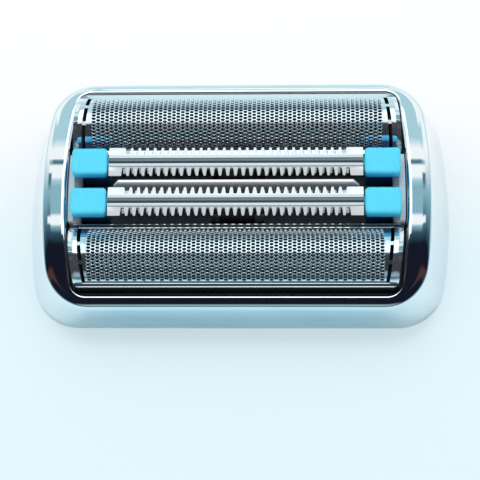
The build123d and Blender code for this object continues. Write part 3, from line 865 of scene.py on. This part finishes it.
def materials():
    """A material for each slot of the record, and for the nodes that have one of their own."""
    comb_steel = grained(
        "comb steel",
        dark=(0.50, 0.58, 0.62),
        light=(0.68, 0.75, 0.78),
        rough=(0.20, 0.32),
        stretch=(6.0, 0.5, 6.0),
        relief=0.003,
        metallic=0.3,
    )
    return {
        "trimmer_comb_front": comb_steel,
        "trimmer_comb_rear": comb_steel,
        "plated_frame": rim_chrome(),
        "plated_cheeks": railed_plate(),
        "satin_plate": sloped_plate(),
        "foil_steel": foil_steel(),
        "guard_steel": grooved_steel(),
        # painted shade: the blades are near black, as they lie in shade under the foils
        "blade_steel": grained(
            "blade steel in painted shade",
            dark=(0.03, 0.04, 0.055),
            light=(0.065, 0.08, 0.10),
            rough=(0.25, 0.40),
            stretch=(4.0, 4.0, 0.8),
            relief=0.003,
        ),
        "spring_steel": grained(
            "spring steel",
            dark=(0.42, 0.42, 0.43),
            light=(0.55, 0.55, 0.56),
            rough=(0.22, 0.35),
            stretch=(6.0, 0.5, 6.0),
            relief=0.002,
        ),
        "blue_cap": headed_blue(),
        "black_moulding": moulding(
            "black moulding",
            dark=(0.026, 0.040, 0.058),
            light=(0.044, 0.062, 0.085),
            rough=(0.35, 0.55),
            relief=0.008,
        ),
        "carrier_moulding": moulding(
            "carrier moulding",
            dark=(0.025, 0.03, 0.04),
            light=(0.05, 0.058, 0.07),
            rough=(0.40, 0.55),
            relief=0.008,
        ),
        # painted light: pure white and not metal, so the guard looks lit in the shade between the trimmers
        "skin_guard": grained(
            "skin guard in painted light",
            dark=(0.98, 0.99, 1.0),
            light=(1.0, 1.0, 1.0),
            rough=(0.20, 0.32),
            stretch=(0.3, 6.0, 6.0),
            relief=0.003,
            metallic=0.0,
        ),
    }


# Edges of the CAD nodes

def smooth_by_angle(angle):
    """Node group that shades a mesh smooth up to an angle between its faces."""
    group = bpy.data.node_groups.new("smooth by angle", "GeometryNodeTree")
    group.interface.new_socket("Geometry", in_out="INPUT", socket_type="NodeSocketGeometry")
    group.interface.new_socket("Geometry", in_out="OUTPUT", socket_type="NodeSocketGeometry")
    nodes, links = group.nodes, group.links
    start, end = nodes.new("NodeGroupInput"), nodes.new("NodeGroupOutput")
    edge_angle = nodes.new("GeometryNodeInputMeshEdgeAngle")
    below = nodes.new("FunctionNodeCompare")
    below.operation = "LESS_THAN"
    below.inputs["B"].default_value = math.radians(angle)
    faces, edges = nodes.new("GeometryNodeSetShadeSmooth"), nodes.new("GeometryNodeSetShadeSmooth")
    edges.domain = "EDGE"
    links.new(edge_angle.outputs["Unsigned Angle"], below.inputs["A"])
    links.new(start.outputs["Geometry"], faces.inputs["Geometry"])
    links.new(faces.outputs["Geometry"], edges.inputs["Geometry"])
    links.new(below.outputs["Result"], edges.inputs["Shade Smooth"])
    links.new(edges.outputs["Geometry"], end.inputs["Geometry"])
    return group


def finish_edges(part, width, shading):
    """Joins a CAD node's split points, rounds its edges a little and shades it smooth."""
    weld = part.modifiers.new("weld", "WELD")
    weld.merge_threshold = WELD_REACH * MM
    if width:
        rounding = part.modifiers.new("edges", "BEVEL")
        rounding.width = width * MM
        rounding.segments = 2
        rounding.limit_method = "ANGLE"
        rounding.angle_limit = math.radians(ROUNDED_PAST)
        rounding.use_clamp_overlap = True
    smooth = part.modifiers.new("smooth", "NODES")
    smooth.node_group = shading
    part.modifiers.new("normals", "WEIGHTED_NORMAL").keep_sharp = True


def dress_nodes(finishes):
    """Gives every CAD node its material, and every shown one its edge rounding."""
    shading = smooth_by_angle(NODE_SHARP_PAST)
    slots = {part["node"]: part["material_slot"] for part in frame["record"]["subparts"]}
    for name, part in frame["nodes"].items():
        part.data.materials.clear()
        part.data.materials.append(finishes.get(name) or finishes[slots[name]])
        if not part.hide_render:
            width = max((w for start, w in EDGE_WIDTHS.items() if name.startswith(start)), default=0)
            finish_edges(part, width, shading)


# Stage

# Paper along Y, from the front to the rear: as it is, as metal mirrors it, and as metal mirrors it far off.
# The mirrored paper is plain beyond the head's ends, and the patch under the head doesn't glow.
PAPER_HALF_SIZE = 600.0
PAPER_SPAN = (-40, 40)
PAPER_FRONT = (0.80, 0.95, 1.0)
PAPER_REAR = (0.98, 0.99, 1.0)
PAPER_BEHIND = (0.62, 0.79, 0.83)
PAPER = [(-8, PAPER_FRONT), (14, PAPER_REAR)]
PAPER_MIRRORED = [
    (-19, (0.55, 0.88, 1.0)),
    (-12, PAPER_FRONT),
    (0, PAPER_FRONT),
    (14, PAPER_REAR),
    (26, PAPER_BEHIND),
]
PAPER_FAR = [(-5, (0.10, 0.20, 0.26)), (7, PAPER_BEHIND)]
PAPER_SIDE_SPAN = (14.0, 36.0)
PAPER_FAR_SPAN = (40.0, 90.0)
PAPER_ROUGHNESS = 0.9
PAPER_GLOW = 0.45
UNLIT_HALF_SIZE = (25.5, 14.5)


def floor(finish):
    """Pale paper under the head."""
    half = PAPER_HALF_SIZE
    corners = [(-half, -half, 0), (half, -half, 0), (half, half, 0), (-half, half, 0)]
    made = mesh_object("paper", corners, [(0, 1, 2, 3)])
    made.data.materials.append(finish)


def paper():
    """Paper that runs from white at the rear to pale blue in front, and glows a little to the camera."""
    made, shader = new_material("paper", PAPER_FRONT, 0.0, PAPER_ROUGHNESS)
    tree = made.node_tree
    nodes, links = tree.nodes, tree.links
    shader.inputs["Specular IOR Level"].default_value = 0.0
    span, side_span, far_span = (
        [d * MM for d in ends] for ends in (PAPER_SPAN, PAPER_SIDE_SPAN, PAPER_FAR_SPAN)
    )
    plain, near, far = (
        color_run(tree, along_axis(made, "Y"), span, [(at * MM, color) for at, color in stops])
        for stops in (PAPER, PAPER_MIRRORED, PAPER_FAR)
    )
    place = nodes.new("ShaderNodeTexCoord")
    away = nodes.new("ShaderNodeVectorMath")
    away.operation = "LENGTH"
    links.new(place.outputs["Object"], away.inputs[0])
    near = crossfade(tree, along_axis(made, "X", 0.0), side_span, near, plain)
    mirrored = crossfade(tree, away.outputs["Value"], far_span, near, far)
    path = nodes.new("ShaderNodeLightPath")
    seen = crossfade(tree, path.outputs["Is Glossy Ray"], (0, 1), plain, mirrored)
    links.new(seen, shader.inputs["Base Color"])
    outside = calc(tree, "MAXIMUM", *(
        calc(tree, "GREATER_THAN", along_axis(made, axis, 0.0), half * MM)
        for axis, half in zip("XY", UNLIT_HALF_SIZE)
    ))
    share = calc(tree, "MULTIPLY", path.outputs["Is Camera Ray"], outside)
    glow, mixed = nodes.new("ShaderNodeEmission"), nodes.new("ShaderNodeMixShader")
    links.new(plain, glow.inputs["Color"])
    links.new(calc(tree, "MULTIPLY", share, PAPER_GLOW), mixed.inputs["Fac"])
    links.new(shader.outputs["BSDF"], mixed.inputs[1])
    links.new(glow.outputs["Emission"], mixed.inputs[2])
    links.new(mixed.outputs["Shader"], nodes["Material Output"].inputs["Surface"])
    return made


# What polished metal mirrors, by how far a direction leans to the rear, from -1 in front to 1 behind:
# the room over the head, beyond its ends and low at the sides. The front of each is a dark room.
LOW_WALL = (0.28, 0.38, 0.42)
WARM_ROOM = (0.075, 0.034, 0.034)
DARK_ROOM = (0.008, 0.010, 0.020)
DUSK_ROOM = (0.035, 0.085, 0.125)
DEEP_TEAL = (0.08, 0.19, 0.25)
MID_TEAL = (0.26, 0.46, 0.55)
TEAL_WALL = (0.42, 0.66, 0.74)
PALE_WALL = (0.62, 0.79, 0.83)
WHITE_WALL = (0.95, 0.99, 1.0)
ROOM_FRONT = [
    (-0.97, LOW_WALL),
    (-0.90, DARK_ROOM),
    (-0.03, DARK_ROOM),
]
ROOM_FRONT_ASIDE = [
    (-0.97, LOW_WALL),
    (-0.90, DARK_ROOM),
    (-0.44, DARK_ROOM),
    (-0.34, WARM_ROOM),
    (-0.24, WARM_ROOM),
    (-0.16, DARK_ROOM),
    (-0.03, DARK_ROOM),
]
ROOM_ABOVE = [
    *ROOM_FRONT,
    (0.04, DUSK_ROOM),
    (0.08, MID_TEAL),
    (0.095, WHITE_WALL),
    (0.145, WHITE_WALL),
    (0.165, MID_TEAL),
    (0.33, MID_TEAL),
    (0.37, TEAL_WALL),
    (0.39, WHITE_WALL),
    (0.46, WHITE_WALL),
    (0.47, DEEP_TEAL),
    (0.49, DEEP_TEAL),
    (0.50, WHITE_WALL),
    (0.56, WHITE_WALL),
    (0.62, TEAL_WALL),
    (0.84, TEAL_WALL),
    (0.93, PALE_WALL),
]
ROOM_ASIDE = [
    *ROOM_FRONT_ASIDE,
    (0.04, DUSK_ROOM),
    (0.09, DEEP_TEAL),
    (0.10, WHITE_WALL),
    (0.135, WHITE_WALL),
    (0.15, DEEP_TEAL),
    (0.30, MID_TEAL),
    (0.36, DEEP_TEAL),
    (0.41, DEEP_TEAL),
    (0.42, WHITE_WALL),
    (0.46, WHITE_WALL),
    (0.47, MID_TEAL),
    (0.49, MID_TEAL),
    (0.50, WHITE_WALL),
    (0.55, WHITE_WALL),
    (0.61, TEAL_WALL),
    (0.68, TEAL_WALL),
    (0.72, WHITE_WALL),
]
ROOM_LOW = [
    *ROOM_FRONT_ASIDE,
    (0.05, DUSK_ROOM),
    (0.11, DEEP_TEAL),
    (0.30, MID_TEAL),
    (0.50, WHITE_WALL),
]
MIRROR_TURN = 0.042
ASIDE_SPAN = (0.145, 0.185)
LOW_SPAN = (0.45, 0.70)


def studio_world():
    """Pale room for soft light, with the room that polished metal mirrors."""
    world = bpy.data.worlds.new("studio")
    bpy.context.scene.world = world
    world.use_nodes = True
    tree = world.node_tree
    tree.nodes.clear()
    nodes, links = tree.nodes, tree.links
    place = nodes.new("ShaderNodeTexCoord")
    axes = nodes.new("ShaderNodeSeparateXYZ")
    links.new(place.outputs["Generated"], axes.inputs["Vector"])
    aside = calc(tree, "ABSOLUTE", calc(tree, "ADD", axes.outputs["X"], MIRROR_TURN))
    above, beyond, low = (
        color_run(tree, axes.outputs["Y"], (-1, 1), stops) for stops in (ROOM_ABOVE, ROOM_ASIDE, ROOM_LOW)
    )
    room = crossfade(tree, aside, ASIDE_SPAN, above, beyond)
    room = crossfade(tree, aside, LOW_SPAN, room, low)
    soft, mirror = nodes.new("ShaderNodeBackground"), nodes.new("ShaderNodeBackground")
    mixed = nodes.new("ShaderNodeMixShader")
    soft.inputs["Color"].default_value = (*SOFT_COLOR, 1)
    soft.inputs["Strength"].default_value = SOFT_LIGHT
    path = nodes.new("ShaderNodeLightPath")
    end = nodes.new("ShaderNodeOutputWorld")
    links.new(room, mirror.inputs["Color"])
    links.new(path.outputs["Is Glossy Ray"], mixed.inputs["Fac"])
    links.new(soft.outputs["Background"], mixed.inputs[1])
    links.new(mirror.outputs["Background"], mixed.inputs[2])
    links.new(mixed.outputs["Shader"], end.inputs["Surface"])


def lamp(name, place, aim, size, power):
    """Soft rectangular lamp that points at a place; lengths in millimetres."""
    data = bpy.data.lights.new(name, "AREA")
    data.shape = "RECTANGLE"
    data.size, data.size_y = size[0] * MM, size[1] * MM
    data.energy = power
    made = bpy.data.objects.new(name, data)
    bpy.context.scene.collection.objects.link(made)
    made.location = Vector(place) * MM
    made.rotation_euler = (Vector(place) - Vector(aim)).to_track_quat("Z", "Y").to_euler()
    return made


def lamps():
    """A key lamp that casts the shadow, and a near softbox that the metal mirrors as white."""
    lamp("key", KEY_PLACE, (0, 0, 0), KEY_SIZE, KEY_POWER).visible_glossy = False
    low, high = SOFTBOX_SPAN
    middle = (SOFTBOX_X, (low + high) / 2, SOFTBOX_HEIGHT)
    size = (SOFTBOX_WIDTH, high - low)
    white = math.pi * size[0] * size[1] * MM * MM
    lamp("softbox", middle, (SOFTBOX_X, middle[1], 0), size, white)


def camera():
    """Camera above the front, as in the photograph."""
    turn, lift = CAMERA_TURN, CAMERA_ELEVATION
    back = Vector((math.sin(turn), -math.cos(turn) * math.cos(lift), math.cos(turn) * math.sin(lift)))
    right = Vector((math.cos(turn), math.sin(turn) * math.cos(lift), -math.sin(turn) * math.sin(lift)))
    up = back.cross(right)
    c, s = math.cos(CAMERA_ROLL), math.sin(CAMERA_ROLL)
    right, up = c * right + s * up, c * up - s * right
    data = bpy.data.cameras.new("camera")
    data.sensor_width = SENSOR_WIDTH
    data.lens = SENSOR_WIDTH * CAMERA_FOCAL_PIXELS / IMAGE_PIXELS
    data.clip_start = CAMERA_NEAR * MM
    made = bpy.data.objects.new("camera", data)
    bpy.context.scene.collection.objects.link(made)
    axes = Matrix((right, up, back)).transposed()
    place = (Vector(CAMERA_AIM) + back * CAMERA_DISTANCE) * MM
    made.matrix_world = Matrix.Translation(place) @ axes.to_4x4()
    bpy.context.scene.camera = made


def main():
    """Makes the pieces, dresses the CAD nodes and sets the stage."""
    finishes = materials()
    outer_frame().data.materials.append(finishes["plated_frame"])
    for row, side in (("front", -1), ("rear", 1)):
        foil(row, side).data.materials.append(finishes["foil_steel"])
        for strips in springs(row, side):
            strips.data.materials.append(finishes["spring_steel"])
    dress_nodes(finishes)
    floor(paper())
    studio_world()
    lamps()
    camera()
    bpy.context.scene.view_settings.view_transform = "Standard"


main()
